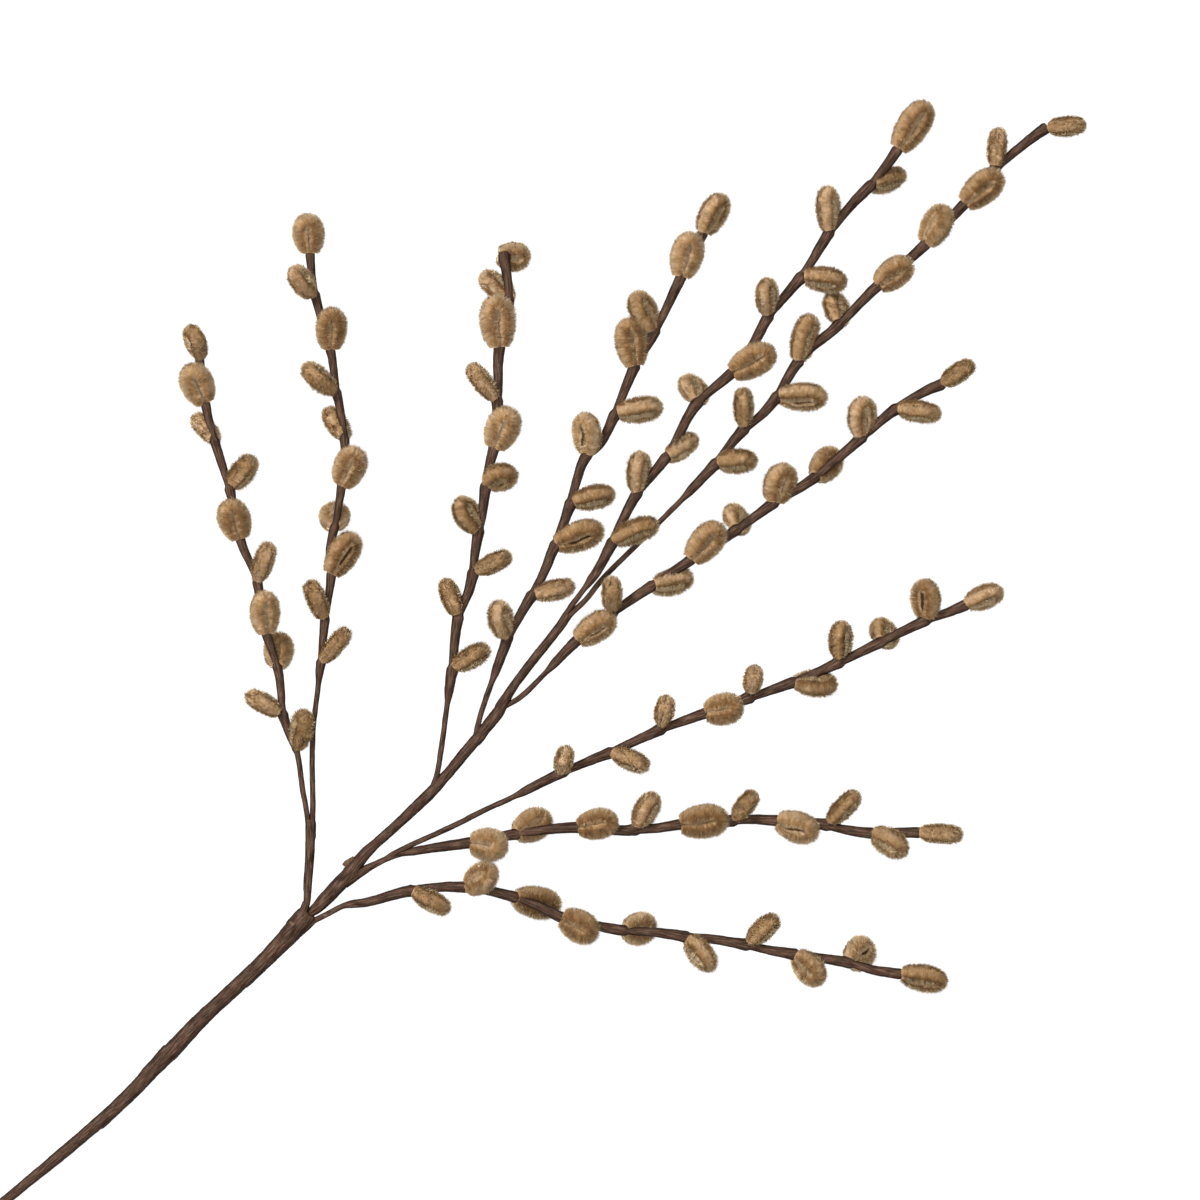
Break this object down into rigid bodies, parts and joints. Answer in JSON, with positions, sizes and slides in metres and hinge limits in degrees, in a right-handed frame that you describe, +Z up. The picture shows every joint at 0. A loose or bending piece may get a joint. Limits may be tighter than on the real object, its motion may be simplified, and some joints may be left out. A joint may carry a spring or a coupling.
{
  "type": "willow branch",
  "caption": "Artificial pussy willow spray that lies flat: brown tape-wrapped wire stems fan out into twigs with soft tan chenille catkins.",
  "frame": {"origin": "bottom centre of the bounding box, on the surface that the spray lies on", "axes": "+Z up from the surface; the twigs fan out towards +X and +Y from the cut end, which lies at -X -Y"},
  "size_m": [0.5464, 0.5456, 0.0342],
  "materials": {
    "stem_tape": "matt crinkled floral tape",
    "catkin_pile": "soft short chenille pile"
  },
  "bodies": {
    "root": {"lower_stem": "stem_tape", "upper_stem": "stem_tape", "stem_ab": "stem_tape", "twig_a": "catkin_pile", "twig_b": "catkin_pile", "twig_c": "catkin_pile", "twig_d": "catkin_pile", "twig_e": "catkin_pile", "twig_f": "catkin_pile", "twig_g": "catkin_pile", "twig_h": "catkin_pile", "twig_i": "catkin_pile", "twig_j": "catkin_pile"}
  },
  "joints": []
}
